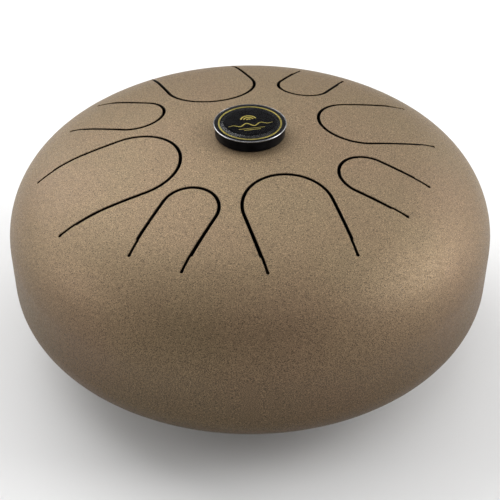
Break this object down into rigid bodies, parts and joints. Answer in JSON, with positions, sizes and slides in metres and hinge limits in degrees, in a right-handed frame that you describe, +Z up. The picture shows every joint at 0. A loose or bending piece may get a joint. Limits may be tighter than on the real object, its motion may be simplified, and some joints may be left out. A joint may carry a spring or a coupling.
{
  "type": "steel tongue drum",
  "caption": "Round steel tongue drum: a domed upper shell with U-shaped slots freeing tuned tongues, a centre badge, a dished underside with a sound port, and rubber feet.",
  "frame": {"origin": "on the floor under the centre of the drum", "axes": "+Z up along the drum's axis; -Y is the side the picture looks from, +X is to its right"},
  "size_m": [0.3, 0.3, 0.1531],
  "materials": {
    "bronze_coat": "fine-textured metallic bronze powder coat, satin",
    "weld_bead": "unpolished weld bead",
    "foam": "closed-cell adhesive foam, matt",
    "black_plastic": "gloss",
    "polished_rim": "polished",
    "gold_foil": "satin gold",
    "label_print": "printed black and gold, gloss",
    "clear_resin": "clear domed resin",
    "black_rubber": "matt",
    "zinc_steel": "zinc plated"
  },
  "bodies": {
    "drum": {"upper_shell": "bronze_coat", "lower_shell": "bronze_coat", "seam_weld": "weld_bead", "badge_pad": "foam", "badge_base": "black_plastic", "badge_rim": "polished_rim", "badge_bezel": "black_plastic", "badge_gold_ring": "gold_foil", "badge_label": "label_print", "badge_lens": "clear_resin", "foot_1": "black_rubber", "foot_2": "black_rubber", "foot_3": "black_rubber", "foot_4": "black_rubber", "foot_screws": "zinc_steel", "foot_washers": "zinc_steel", "foot_nuts": "zinc_steel"},
    "note_1": {"tongue_1": "bronze_coat"},
    "note_2": {"tongue_2": "bronze_coat"},
    "note_3": {"tongue_3": "bronze_coat"},
    "note_4": {"tongue_4": "bronze_coat"},
    "note_5": {"tongue_5": "bronze_coat"},
    "note_6": {"tongue_6": "bronze_coat"},
    "note_7": {"tongue_7": "bronze_coat"},
    "note_8": {"tongue_8": "bronze_coat"}
  },
  "joints": [
    {"name": "tongue_1_flex", "type": "hinge", "parent": "drum", "child": "note_1", "pos_m": [-0.1163, -0.04302, 0.12251], "axis": [-0.3469, 0.9379, 0], "range_deg": [-0.5, 0.5], "stiffness_Nm_per_rad": 210},
    {"name": "tongue_2_flex", "type": "hinge", "parent": "drum", "child": "note_2", "pos_m": [-0.04059, 0.10973, 0.12645], "axis": [0.9379, 0.3469, 0], "range_deg": [-0.5, 0.5], "stiffness_Nm_per_rad": 220},
    {"name": "tongue_3_flex", "type": "hinge", "parent": "drum", "child": "note_3", "pos_m": [0.0336, -0.10527, 0.12935], "axis": [-0.9527, -0.304, 0], "range_deg": [-0.5, 0.5], "stiffness_Nm_per_rad": 220},
    {"name": "tongue_4_flex", "type": "hinge", "parent": "drum", "child": "note_4", "pos_m": [0.10508, 0.03253, 0.12955], "axis": [0.2957, -0.9553, 0], "range_deg": [-0.5, 0.5], "stiffness_Nm_per_rad": 210},
    {"name": "tongue_5_flex", "type": "hinge", "parent": "drum", "child": "note_5", "pos_m": [-0.05059, -0.10327, 0.12741], "axis": [-0.898, 0.4399, 0], "range_deg": [-0.5, 0.5], "stiffness_Nm_per_rad": 170},
    {"name": "tongue_6_flex", "type": "hinge", "parent": "drum", "child": "note_6", "pos_m": [-0.10484, 0.04602, 0.12764], "axis": [0.4019, 0.9157, 0], "range_deg": [-0.5, 0.5], "stiffness_Nm_per_rad": 180},
    {"name": "tongue_7_flex", "type": "hinge", "parent": "drum", "child": "note_7", "pos_m": [0.09571, -0.05004, 0.1303], "axis": [-0.4633, -0.8862, 0], "range_deg": [-0.5, 0.5], "stiffness_Nm_per_rad": 200},
    {"name": "tongue_8_flex", "type": "hinge", "parent": "drum", "child": "note_8", "pos_m": [0.04728, 0.09319, 0.13147], "axis": [0.8918, -0.4524, 0], "range_deg": [-0.5, 0.5], "stiffness_Nm_per_rad": 200}
  ]
}
